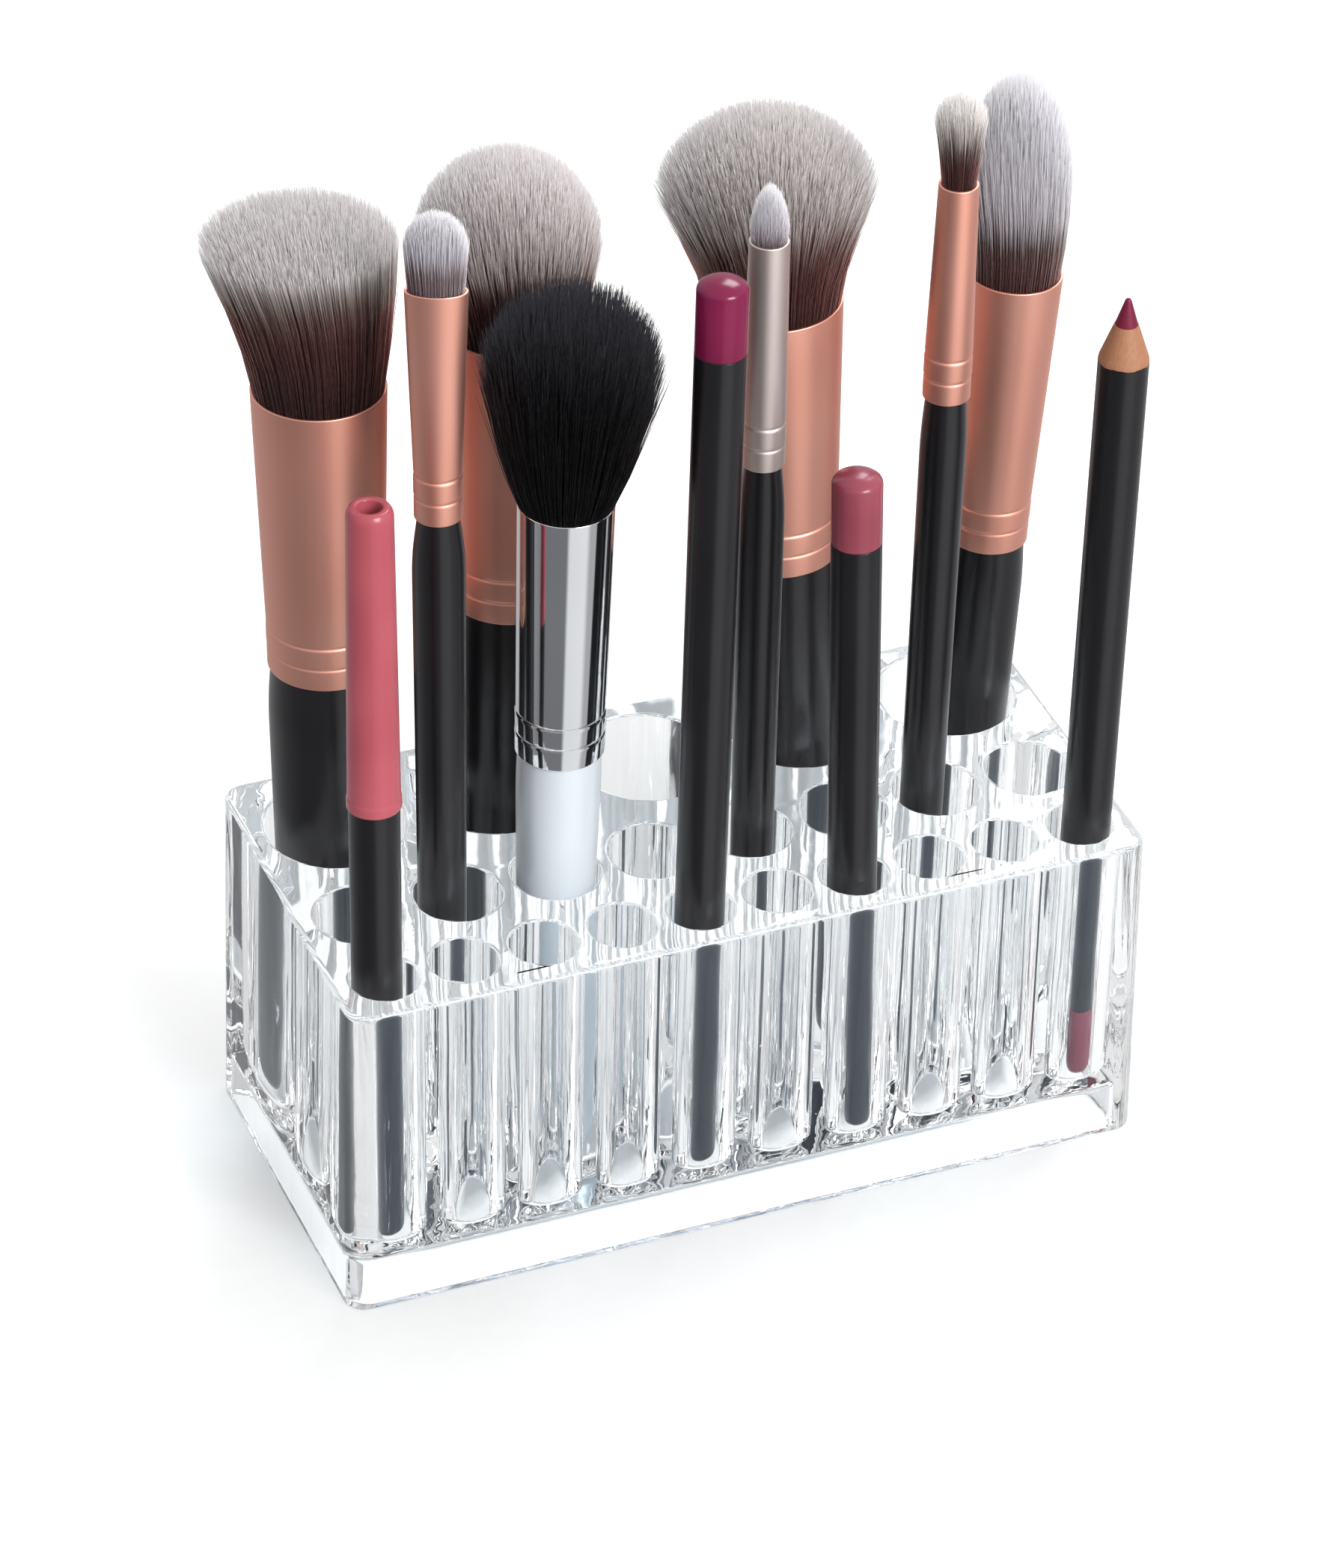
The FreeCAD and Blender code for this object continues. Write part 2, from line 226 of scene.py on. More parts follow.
def hair(name, jag, stops, roughness=0.45, gloss=0.4):
    """Bristles, each with its own tone. The colour changes along them at a height that is uneven by jag,
    and part of the light passes each strand, so a tuft stays soft inside."""
    made, tree, shader = material(name)
    dimmest, light_range, shadow_pass = 0.86, 0.18, 0.55
    along = node(tree, "ShaderNodeAttribute", attribute_name="along").outputs["Fac"]
    tone = node(tree, "ShaderNodeAttribute", attribute_name="tone").outputs["Fac"]
    offset = node(tree, MATH, [tone, 0.5], operation="SUBTRACT")
    place = node(tree, MATH, [offset, jag, along], operation="MULTIPLY_ADD")
    # A strand's tone, spread out and without its whole part, gives it a second random value.
    wide = node(tree, MATH, [tone, 7.3], operation="MULTIPLY")
    second = node(tree, MATH, [wide], operation="FRACT")
    light = node(tree, MATH, [second, light_range, dimmest], operation="MULTIPLY_ADD")
    colour = node(tree, RAMP, [place], stops)
    feed(tree, shader, {
        "Subsurface Weight": 0.85,
        "Subsurface Radius": (1.0, 1.0, 1.0),
        "Subsurface Scale": 2.5 * MM,
        "Base Color": node(tree, "ShaderNodeVectorMath", {0: colour, "Scale": light}, operation="SCALE"),
        "Specular IOR Level": gloss,
        "Roughness": uneven(tree, roughness, 0.08, 1.5),
    })
    shadow_ray = node(tree, "ShaderNodeLightPath").outputs["Is Shadow Ray"]
    let_through(tree, shader, node(tree, MATH, [shadow_ray, shadow_pass], operation="MULTIPLY"))
    return made


MATERIALS = {
    "clear_acrylic": clear_acrylic(),
    "black_lacquer": lacquer("black_satin_lacquer", "#0b0a0d", "#131115", 0.29),
    "pearl_lacquer": lacquer("pearl_silver_lacquer", "#c2c9cf", "#cbd2d7", 0.34, 0.1),
    "rose_gold": tube_metal("rose_gold_satin_anodised", "#e8a693", "#efb3a1", 0.48, 0.0015),
    "champagne_metal": tube_metal("champagne_satin_anodised", "#d0c2bd", "#dacdc8", 0.48, 0.0015),
    "chrome_metal": tube_metal("polished_chrome", "#d4d6da", "#e2e4e6", 0.07, 0.0005),
    "magenta_end": plastic("magenta_gloss_dip", "#5d0d2f", "#741840", 0.22),
    "mauve_end": plastic("mauve_gloss_dip", "#722d39", "#8b4351", 0.25),
    "rose_cap": plastic("rose_moulded_plastic", "#93404a", "#a24f58", 0.25),
    "cosmetic_lead": plastic("waxy_pink_lead", "#5f0b28", "#701238", 0.45),
}

HAIRS = {
    "duo": hair("brown_root_pale_tip_hair", 0.22, [
        (0.0, "#261514"), (0.63, "#412725"), (0.81, "#6a4841"),
        (0.88, "#a8928c"), (0.95, "#c6bdbd"), (1.0, "#cfc7c9"),
    ]),
    "buff": hair("brown_root_bright_tip_hair", 0.26, [
        (0.0, "#261514"), (0.6, "#412725"), (0.78, "#6f4c46"),
        (0.86, "#b8a39d"), (0.94, "#dfd6d7"), (1.0, "#e8e0e3"),
    ]),
    "fan": hair("brown_root_pale_fan_hair", 0.32, [
        (0.0, "#2f1a18"), (0.64, "#4c2d29"), (0.8, "#784f48"),
        (0.88, "#a9928c"), (0.95, "#c8bebe"), (1.0, "#d4cbcc"),
    ]),
    "crease": hair("brown_root_cream_tip_hair", 0.3, [
        (0.0, "#35201e"), (0.55, "#462b29"), (0.7, "#8c7570"), (0.8, "#dcd2ce"), (1.0, "#faf6f3"),
    ]),
    "foundation": hair("brown_root_lavender_hair", 0.2, [
        (0.0, "#402726"), (0.45, "#5d3d3c"), (0.62, "#d4cdd5"), (1.0, "#f6f4fa"),
    ]),
    "shader": hair("mauve_root_lavender_hair", 0.2, [
        (0.0, "#5a3f45"), (0.5, "#86686f"), (0.75, "#e0dae6"), (1.0, "#fdfbff"),
    ]),
    "black": hair("black_goat_style_hair", 0.2, [
        (0.0, "#030304"), (0.6, "#060607"), (1.0, "#0b0b0d"),
    ], 0.5, 0.2),
}


# Turned pieces

# Corners of a CAD node that are nearer in height than this, in mm, belong to one ring.
RING_GAP = 0.03
# A radius below this, in mm, lies on the axis.
ON_AXIS = 1e-6
TURNED_CREASE = math.radians(50)
HANDLE_TURNS, PENCIL_TURNS = 64, 48


def cad_corners(name):
    """Corner points of a CAD node, in metres."""
    data = frame["nodes"][name].data
    flat = np.empty(len(data.vertices) * 3, np.float32)
    data.vertices.foreach_get("co", flat)
    return flat.reshape(-1, 3).astype(float)


def standing_place(body, foot_node):
    """Matrix from a tool's own millimetres, foot at 0 and axis up, to the shared frame."""
    up = np.array(next(j["axis"] for j in frame["joints"] if j["child"] == body))
    side = np.array([1.0, 0.0, 0.0]) - up[0] * up
    side /= np.linalg.norm(side)
    deep = np.cross(up, side)
    turn = np.array([side, deep, up])
    local = cad_corners(foot_node) @ turn.T
    foot = (local.min(0) + local.max(0)) / 2
    foot[2] = local[:, 2].min()
    place = np.eye(4)
    place[:3, :3] = turn.T * MM
    place[:3, 3] = foot @ turn
    return Matrix(place.tolist())


def cad_rings(name, place):
    """(greatest radius, height) of each level ring of a turned CAD node, in mm, from the bottom up."""
    to_local = np.array(place.inverted())
    local = cad_corners(name) @ to_local[:3, :3].T + to_local[:3, 3]
    local = local[local[:, 2].argsort()]
    groups = np.split(local, np.nonzero(np.diff(local[:, 2]) > RING_GAP)[0] + 1)
    return [(np.hypot(g[:, 0], g[:, 1]).max(), g[:, 2].mean()) for g in groups]


def eased(outline, steps=5):
    """Outline of (radius, height, rounding) corners with each corner rounded off."""
    out = [outline[0][:2]]
    for before, corner, after in zip(outline, outline[1:], outline[2:]):
        a, b, c = (np.array(p[:2], float) for p in (before, corner, after))
        back, on = a - b, c - b
        reach = min(corner[2], np.linalg.norm(back) / 2, np.linalg.norm(on) / 2)
        if reach <= 0:
            out.append(tuple(b))
            continue
        start = b + back / np.linalg.norm(back) * reach
        end = b + on / np.linalg.norm(on) * reach
        for t in np.linspace(0, 1, steps + 1):
            out.append(tuple((1 - t) ** 2 * start + 2 * t * (1 - t) * b + t * t * end))
    return out + [outline[-1][:2]]


def round_share(height):
    """Depth over width of a piece that is round at every height."""
    return 1.0


def lathe(name, outline, place, turns=PENCIL_TURNS, flat=round_share, spin=0.0, closed=False):
    """Mesh object turned from an outline that has the material on its left. Its UV map holds the share
    of a turn and the height in mm. flat gives the depth over the width at a height."""
    points = eased(outline + outline[:2] if closed else outline)
    if closed:
        points = points[1:-1]
    verts, rings = [], []
    for radius, height in points:
        count = turns if radius > ON_AXIS else 1
        rings.append([len(verts) + i % count for i in range(turns + 1)])
        for i in range(count):
            angle = math.tau * i / turns
            across, deep = radius * math.cos(angle), radius * flat(height) * math.sin(angle)
            verts.append((
                across * math.cos(spin) - deep * math.sin(spin),
                across * math.sin(spin) + deep * math.cos(spin),
                height,
            ))
    pairs = [(i, i + 1) for i in range(len(rings) - 1)]
    if closed:
        pairs.append((len(rings) - 1, 0))
    faces, uvs = [], []
    for low, high in pairs:
        for i in range(turns):
            face = {}
            for ring, step in [(low, i), (low, i + 1), (high, i + 1), (high, i)]:
                face.setdefault(rings[ring][step], (step / turns, points[ring][1]))
            if len(face) > 2:
                faces.append(list(face))
                uvs += face.values()
    mesh = bpy.data.meshes.new(name)
    mesh.from_pydata(verts, [], faces)
    layer = mesh.uv_layers.new(name="UVMap")
    layer.data.foreach_set("uv", np.array(uvs, np.float32).ravel())
    mesh.transform(place)
    mesh.shade_smooth()
    mesh.set_sharp_from_angle(angle=TURNED_CREASE)
    made = bpy.data.objects.new(name, mesh)
    scene.collection.objects.link(made)
    return made


def show(made, body, look, cad_node):
    """Gives a finished piece its material and its body, and hides the CAD node that it stands for."""
    if not made.data.materials:
        made.data.materials.append(look)
    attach(made, body)
    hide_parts(cad_node)


# Clear block, in mm

BLOCK_W, BLOCK_D, FRONT_H, REAR_H = 135.2, 63.3, 55.8, 59.0
BLOCK_Y = -1.95
# Lean of the walls, as a share of the height.
DRAFT = 0.0146
CORNER_R, TOP_EDGE_R, FOOT_EDGE_R, RIM_R = 3.5, 0.9, 0.4, 0.45
SKIRT, RECESS_H, RECESS_R, RECESS_SMALL_R, RECESS_TOP_R, RECESS_CHAMFER = 3.0, 8.5, 2.0, 0.4, 1.0, 0.3
END_WALL, ROW_WALL, ROW_GAP = 3.0, 3.3, 3.4
FRONT_BORE_D, MIDDLE_BORE_D, REAR_BORE_D = 10.7, 13.9, 22.5
TOP_FRONT_Y = BLOCK_Y - BLOCK_D / 2 + DRAFT * FRONT_H
TOP_REAR_Y = BLOCK_Y + BLOCK_D / 2 - DRAFT * REAR_H
FRONT_ROW_Y = TOP_FRONT_Y + ROW_WALL + FRONT_BORE_D / 2
MIDDLE_ROW_Y = FRONT_ROW_Y + FRONT_BORE_D / 2 + ROW_GAP + MIDDLE_BORE_D / 2
REAR_ROW_Y = TOP_REAR_Y - ROW_WALL - REAR_BORE_D / 2
# turns is the number of corners round a bore.
ROWS = [
    dict(count=10, bore_d=FRONT_BORE_D, floor_z=10.0, floor_r=1.5, y=FRONT_ROW_Y, turns=64),
    dict(count=8, bore_d=MIDDLE_BORE_D, floor_z=10.5, floor_r=2.0, y=MIDDLE_ROW_Y, turns=72),
    dict(count=5, bore_d=REAR_BORE_D, floor_z=11.0, floor_r=3.0, y=REAR_ROW_Y, turns=96),
]
CORNER_STEPS, ROUND_STEPS = 10, 4
BLOCK_CREASE = math.radians(35)
BUBBLES, BUBBLE_SEED = 26, 4
# Bubbles lie from this far above their bore's floor up to this height.
BUBBLE_RISE, BUBBLE_TOP = 4, 50


def top_z(y):
    """Height of the sloped top."""
    return FRONT_H + (REAR_H - FRONT_H) * (y - TOP_FRONT_Y) / (TOP_REAR_Y - TOP_FRONT_Y)


def rounded_rectangle(half_w, half_d, radius):
    """Plan of a rectangle with rounded corners, round the middle of the block."""
    points = []
    for corner, (sx, sy) in enumerate([(1, 1), (-1, 1), (-1, -1), (1, -1)]):
        for i in range(CORNER_STEPS + 1):
            angle = math.pi / 2 * (corner + i / CORNER_STEPS)
            points.append((
                sx * (half_w - radius) + radius * math.cos(angle),
                BLOCK_Y + sy * (half_d - radius) + radius * math.sin(angle),
            ))
    return points


def wall_plan(inset, z):
    """Plan of the outer wall at a height, moved inwards by inset."""
    lean = DRAFT * z
    return rounded_rectangle(BLOCK_W / 2 - lean - inset, BLOCK_D / 2 - lean - inset, CORNER_R - inset)


def recess_plan(inset, z):
    """Plan of the recess at a height, moved inwards by inset."""
    lean = SKIRT + DRAFT * z + inset
    return rounded_rectangle(BLOCK_W / 2 - lean, BLOCK_D / 2 - lean, max(RECESS_R - inset, RECESS_SMALL_R))


def bore_plan(x, y, radius, turns):
    """Circle round the axis of a bore."""
    angles = [math.tau * i / turns for i in range(turns)]
    return [(x + radius * math.cos(a), y + radius * math.sin(a)) for a in angles]


def bore_centres(row):
    """x of each bore of a row. The bores share the top evenly between its end walls."""
    run = BLOCK_W - 2 * DRAFT * REAR_H - 2 * END_WALL - row["bore_d"]
    return [run * (i / (row["count"] - 1) - 0.5) for i in range(row["count"])]


def rounding(radius):
    """(inset, drop) of the points of a rounded edge, from its upright side to its flat side."""
    angles = [math.pi / 2 * i / ROUND_STEPS for i in range(ROUND_STEPS + 1)]
    return [(radius * (1 - math.cos(a)), radius * (1 - math.sin(a))) for a in angles]


def cast_bubbles(work):
    """Adds small, slightly tall bubbles to the acrylic beside the bores, as shells that face inwards."""
    chance = random.Random(BUBBLE_SEED)
    for _ in range(BUBBLES):
        row = chance.choice(ROWS)
        x = bore_centres(row)[chance.randrange(row["count"])]
        angle = chance.uniform(0, math.tau)
        out = row["bore_d"] / 2 + chance.uniform(0.7, 1.3)
        z = chance.uniform(row["floor_z"] + BUBBLE_RISE, BUBBLE_TOP)
        spot = Vector((x + out * math.cos(angle), row["y"] + out * math.sin(angle), z))
        tall = Matrix.Diagonal((1, 1, chance.uniform(1.0, 1.6), 1))
        place = Matrix.Translation(spot) @ tall
        radius = chance.uniform(0.12, 0.3)
        bubble = bmesh.ops.create_icosphere(work, subdivisions=2, radius=radius, matrix=place)
        shell = {face for corner in bubble["verts"] for face in corner.link_faces}
        bmesh.ops.reverse_faces(work, faces=list(shell))


def clear_block():
    """One clear mesh: drafted walls, recess below, bores with rounded rims and floors, and a sloped top."""
    verts, faces = [], []

    def ring(plan, z=None, drop=0.0):
        """Adds a ring of corners at a height, or else this much below the sloped top."""
        verts.extend((x, y, top_z(y) - drop if z is None else z) for x, y in plan)
        return list(range(len(verts) - len(plan), len(verts)))

    def bridge(one, other):
        for i in range(len(one)):
            faces.append([one[i - 1], one[i], other[i], other[i - 1]])

    middle_h = (FRONT_H + REAR_H) / 2
    walls = [ring(wall_plan(inset, middle_h), drop=drop) for inset, drop in reversed(rounding(TOP_EDGE_R))]
    walls += [ring(wall_plan(inset, z), z) for inset, z in rounding(FOOT_EDGE_R)]
    walls.append(ring(recess_plan(-RECESS_CHAMFER, 0), 0))
    walls.append(ring(recess_plan(0, RECESS_CHAMFER), RECESS_CHAMFER))
    for inset, drop in rounding(RECESS_TOP_R):
        walls.append(ring(recess_plan(inset, RECESS_H - drop), RECESS_H - drop))
    for upper, lower in zip(walls, walls[1:]):
        bridge(upper, lower)
    faces.append(walls[-1])

    rims = []
    for row in ROWS:
        radius, y, turns = row["bore_d"] / 2, row["y"], row["turns"]
        for x in bore_centres(row):
            rings = []
            for out, drop in reversed(rounding(RIM_R)):
                rings.append(ring(bore_plan(x, y, radius + out, turns), drop=drop))
            for inset, rise in rounding(row["floor_r"]):
                rings.append(ring(bore_plan(x, y, radius - inset, turns), row["floor_z"] + rise))
            for upper, lower in zip(rings, rings[1:]):
                bridge(lower, upper)
            faces.append(rings[-1])
            rims.append((rings[0], x, y, radius))

    # The top is the plan between the outer edge and the rims, cut into triangles.
    loops = [walls[0]] + [rim[0] for rim in rims]
    order = [corner for loop in loops for corner in loop]
    edges, start = [], 0
    for loop in loops:
        edges += [(start + i, start + (i + 1) % len(loop)) for i in range(len(loop))]
        start += len(loop)
    plan = [Vector(verts[corner][:2]) for corner in order]
    inside_edges, merge_mm = 1, 1e-6
    _, _, cells, origin, _, _ = delaunay_2d_cdt(plan, edges, [], inside_edges, merge_mm)
    for cell in cells:
        corners = [order[origin[v][0]] for v in cell]
        x, y = np.mean([verts[corner][:2] for corner in corners], axis=0)
        if all(math.hypot(x - rim_x, y - rim_y) > radius for _, rim_x, rim_y, radius in rims):
            faces.append(corners)

    mesh = bpy.data.meshes.new("holder_block_clear")
    mesh.from_pydata(verts, [], faces)
    work = bmesh.new()
    work.from_mesh(mesh)
    bmesh.ops.recalc_face_normals(work, faces=work.faces)
    cast_bubbles(work)
    work.to_mesh(mesh)
    work.free()
    mesh.transform(Matrix.Scale(MM, 4))
    mesh.shade_smooth()
    mesh.set_sharp_from_angle(angle=BLOCK_CREASE)
    made = bpy.data.objects.new("holder_block_clear", mesh)
    scene.collection.objects.link(made)
    return made


# Tufts

# Turn from one strand to the next, in radians, which spreads strands evenly over a disc.
STRAND_TURN, STRAND_TURN_PLAY = 2.399963, 0.03
STRAND_RINGS, STRAND_SIDES = 4, 3
# Share of its thickness that a strand loses towards its tip.
STRAND_TAPER = 0.7
TUFT_COUNTS = ["Strands", "Seed"]
TUFT_SIZES = [
    "Root Radius", "Belly Radius", "Belly Height", "Length", "Dome Power", "Flank Power", "Flat Share",
    "Lean X", "Lean Y", "Strand Radius", "Stray", "Uneven",
]
# Values that each strand keeps while the tuft grows. Only its tone stays for the material.
STRAND_VALUES = ["share", "turn", "tone", "stray_x", "stray_y", "reach"]


def tuft_tree():
    """Geometry Nodes tree of a tuft: strands spread over a root disc, each bent out to a flank and cut
    to a domed top, with the share of its length and its own tone kept as attributes."""
    tree = bpy.data.node_groups.new("bristle_tuft", "GeometryNodeTree")
    sockets = tree.interface
    sockets.new_socket("Geometry", in_out="OUTPUT", socket_type="NodeSocketGeometry")
    for name in TUFT_COUNTS:
        sockets.new_socket(name, in_out="INPUT", socket_type="NodeSocketInt")
    for name in TUFT_SIZES:
        sockets.new_socket(name, in_out="INPUT", socket_type="NodeSocketFloat")
    sockets.new_socket("Material", in_out="INPUT", socket_type="NodeSocketMaterial")
    given = node(tree, "NodeGroupInput").outputs

    def chance(offset, low, high):
        """A random value for each strand, from a seed of its own. Sockets 2 and 3 are the limits."""
        seed = node(tree, MATH, [given["Seed"], offset], operation="ADD")
        limits = {2: low, 3: high, "Seed": seed}
        return node(tree, "FunctionNodeRandomValue", limits, data_type="FLOAT").outputs[1]

    index = node(tree, "GeometryNodeInputIndex")
    middle = node(tree, MATH, [index, 0.5], operation="ADD")
    rank = node(tree, MATH, [middle, given["Strands"]], operation="DIVIDE")
    turned = node(tree, MATH, [index, STRAND_TURN], operation="MULTIPLY")
    values = [
        node(tree, MATH, [rank], operation="SQRT"),
        node(tree, MATH, [turned, chance(1, -STRAND_TURN_PLAY, STRAND_TURN_PLAY)], operation="ADD"),
        chance(2, 0.0, 1.0),
        chance(3, -1.0, 1.0),
        chance(4, -1.0, 1.0),
        chance(5, 0.0, 1.0),
    ]
    grown = node(tree, "GeometryNodePoints", {"Count": given["Strands"]})
    for name, value in zip(STRAND_VALUES, values):
        stored = {"Geometry": grown, "Name": name, "Value": value}
        grown = node(tree, "GeometryNodeStoreNamedAttribute", stored, data_type="FLOAT", domain="POINT")

    line = node(tree, "GeometryNodeCurvePrimitiveLine", {"End": (0, 0, 1)})
    line = node(tree, "GeometryNodeResampleCurve", {"Curve": line, "Count": STRAND_RINGS})
    section = {"Resolution": STRAND_SIDES, "Radius": given["Strand Radius"]}
    section = node(tree, "GeometryNodeCurvePrimitiveCircle", section)
    done = node(tree, "GeometryNodeSplineParameter").outputs["Factor"]
    late = node(tree, MATH, [done, 2.0], operation="POWER")
    shrink = node(tree, MATH, [late, STRAND_TAPER], operation="MULTIPLY")
    thin = node(tree, MATH, [1.0, shrink], operation="SUBTRACT")
    strand = {"Curve": line, "Profile Curve": section, "Scale": thin}
    strand = node(tree, "GeometryNodeCurveToMesh", strand)
    grown = node(tree, "GeometryNodeInstanceOnPoints", {"Points": grown, "Instance": strand})
    grown = node(tree, "GeometryNodeRealizeInstances", {"Geometry": grown})
    here = node(tree, SPLIT, [node(tree, "GeometryNodeInputPosition")]).outputs
    stored = {"Geometry": grown, "Name": "along", "Value": here["Z"]}
    grown = node(tree, "GeometryNodeStoreNamedAttribute", stored, data_type="FLOAT", domain="POINT")
    kept = {
        name: node(tree, "GeometryNodeInputNamedAttribute", {"Name": name}, data_type="FLOAT")
        for name in STRAND_VALUES + ["along"]
    }

    # Height: a domed top over the belly, from which each tip falls a little short.
    curve = node(tree, MATH, [kept["share"], given["Dome Power"]], operation="POWER")
    rest = node(tree, MATH, [1.0, curve], operation="SUBTRACT")
    rest = node(tree, MATH, [rest, 0.0], operation="MAXIMUM")
    root = node(tree, MATH, [1.0, given["Dome Power"]], operation="DIVIDE")
    dome = node(tree, MATH, [rest, root], operation="POWER")
    dome_h = node(tree, MATH, [given["Length"], given["Belly Height"]], operation="SUBTRACT")
    tip = node(tree, MATH, [dome, dome_h, given["Belly Height"]], operation="MULTIPLY_ADD")
    lost = node(tree, MATH, [kept["reach"], given["Uneven"]], operation="MULTIPLY")
    cut = node(tree, MATH, [1.0, lost], operation="SUBTRACT")
    length = node(tree, MATH, [tip, cut], operation="MULTIPLY")
    height = node(tree, MATH, [length, kept["along"]], operation="MULTIPLY")

    # Width: from the root disc out to the belly, with each strand at its own share of the radius.
    flank = node(tree, MATH, [kept["along"], given["Flank Power"]], operation="POWER")
    grow = node(tree, MATH, [given["Belly Radius"], given["Root Radius"]], operation="SUBTRACT")
    bent = node(tree, MATH, [flank, grow, given["Root Radius"]], operation="MULTIPLY_ADD")
    radius = node(tree, MATH, [bent, kept["share"]], operation="MULTIPLY")
    high = node(tree, MATH, [kept["along"], kept["along"]], operation="MULTIPLY")

    def across(way, flat, stray, lean, own):
        """Place of a strand along one level axis, with the lean of the tuft and its own stray."""
        turned = node(tree, MATH, [kept["turn"]], operation=way)
        out = node(tree, MATH, [radius, turned], operation="MULTIPLY")
        base = node(tree, MATH, [out, flat], operation="MULTIPLY")
        sway = node(tree, MATH, [kept[stray], given["Stray"], given[lean]], operation="MULTIPLY_ADD")
        moved = node(tree, MATH, [sway, high, base], operation="MULTIPLY_ADD")
        return node(tree, MATH, [moved, own], operation="ADD")

    x = across("COSINE", 1.0, "stray_x", "Lean X", here["X"])
    y = across("SINE", given["Flat Share"], "stray_y", "Lean Y", here["Y"])
    moved = node(tree, "ShaderNodeCombineXYZ", {"X": x, "Y": y, "Z": height})
    grown = node(tree, "GeometryNodeSetPosition", {"Geometry": grown, "Position": moved})
    grown = node(tree, "GeometryNodeSetShadeSmooth", {"Geometry": grown})
    grown = node(tree, "GeometryNodeSetMaterial", {"Geometry": grown, "Material": given["Material"]})
    node(tree, "NodeGroupOutput", [grown])
    return tree


def tuft(name, tree, place, values):
    """Plain mesh object of one tuft, in the shared frame."""
    made = bpy.data.objects.new(name, bpy.data.meshes.new(name))
    scene.collection.objects.link(made)
    growth = made.modifiers.new("bristles", "NODES")
    growth.node_group = tree
    for socket in tree.interface.items_tree:
        if socket.in_out == "INPUT":
            growth[socket.identifier] = values[socket.name]
    made.update_tag()
    scene.view_layers[0].update()
    ready = made.evaluated_get(bpy.context.evaluated_depsgraph_get())
    mesh = bpy.data.meshes.new_from_object(ready)
    made.modifiers.remove(growth)
    for spare in STRAND_VALUES:
        if spare != "tone":
            mesh.attributes.remove(mesh.attributes[spare])
    mesh.transform(place)
    made.data = mesh
    mesh.name = name
    return made


# Brushes

# Directions of the camera fitted to the photograph. A tuft leans sideways as that camera sees it.
YAW, PITCH, ROLL = math.radians(23.008887), math.radians(34.661022), math.radians(1.462138)
RIGHT = Vector((math.cos(YAW), -math.sin(YAW), 0))

# What a brush has unless its own row says otherwise. Lengths are in mm. dome and flank are the powers of
# the curves of a tuft's top and side. lean is how far its top leans to the right, stray how far a strand
# wanders, and uneven the share by which tips fall short. tip_reach and tip_spread are how far loose tips
# stand out beyond the plain form of the tuft. flat is the mouth's depth over its width, and spin the turn
# of a flat mouth in radians.
BRUSH = dict(
    handle="black_lacquer", ferrule="rose_gold", strand_d=0.15, dome=2.0, flank=1.0, lean=0.0, uneven=0.05,
    tip_reach=0.0, tip_spread=0.0, flat=1.0, spin=0.0,
)
BRUSHES = {
    "kabuki_brush": dict(
        hair_slot="duo_hair", hair="duo", strands=10500, dome=1.7, flank=1.14, lean=-2.5, stray=0.35,
        tip_reach=0.5,
    ),
    "shader_brush": dict(
        hair_slot="pale_hair", hair="shader", strands=2200, strand_d=0.13, stray=0.2, uneven=0.06,
        flat=0.55, spin=math.radians(-23),
    ),
    "buffing_brush": dict(
        hair_slot="duo_hair", hair="buff", strands=10500, lean=-1.0, stray=0.4, tip_reach=1.5,
    ),
    "powder_brush": dict(
        handle="pearl_lacquer", ferrule="chrome_metal", hair_slot="black_hair", hair="black", strands=10000,
        dome=2.4, flank=0.8, lean=0.4, stray=1.0, uneven=0.15,
    ),
    "detail_brush": dict(
        ferrule="champagne_metal", hair_slot="pale_hair", hair="shader", strands=1200, strand_d=0.12,
        dome=1.7, stray=0.12,
    ),
    "flared_brush": dict(
        hair_slot="duo_hair", hair="fan", strands=10800, strand_d=0.16, dome=1.76, flank=1.46, lean=-0.6,
        stray=0.45, tip_reach=1.4,
    ),
    "crease_brush": dict(
        hair_slot="pale_hair", hair="crease", strands=1900, strand_d=0.12, lean=-0.3, stray=0.35, uneven=0.08,
        tip_reach=0.8,
    ),
    "foundation_brush": dict(
        hair_slot="pale_hair", hair="foundation", strands=6000, lean=-1.4, stray=0.25, tip_reach=1.1,
        tip_spread=0.5,
    ),
}
# Each tuft has a fixed seed. The step leaves room for the draws of one tuft.
FIRST_SEED, SEED_STEP = 3, 10
# How far a handle goes on into its ferrule, and a tuft's roots below the ferrule's mouth.
TENON_L, ROOT_L = 2.0, 1.5
ROOT_PLAY = 0.15
# Ferrule: wall, depth and two sides of a groove, swell of the band, straight part inside the mouth.
WALL, GROOVE_DEPTH, GROOVE_OUT, GROOVE_IN, BAND_SWELL, MOUTH_L = 0.5, 0.16, 0.35, 0.4, 0.04, 5.0


def handle_outline(rings):
    """Handle that widens from its rounded foot, narrows to the ferrule and ends in a tenon inside it."""
    (foot_flat, foot_z), (foot_r, side_z), (body_r, body_z), (neck_r, neck_z) = rings[:4]
    return [
        (0, foot_z, 0), (foot_flat, foot_z, 0.8), (foot_r, side_z, 2.5), (body_r, body_z, 6.0),
        (neck_r, neck_z, 0.3), (neck_r, neck_z + TENON_L, 0), (0, neck_z + TENON_L, 0),
    ]


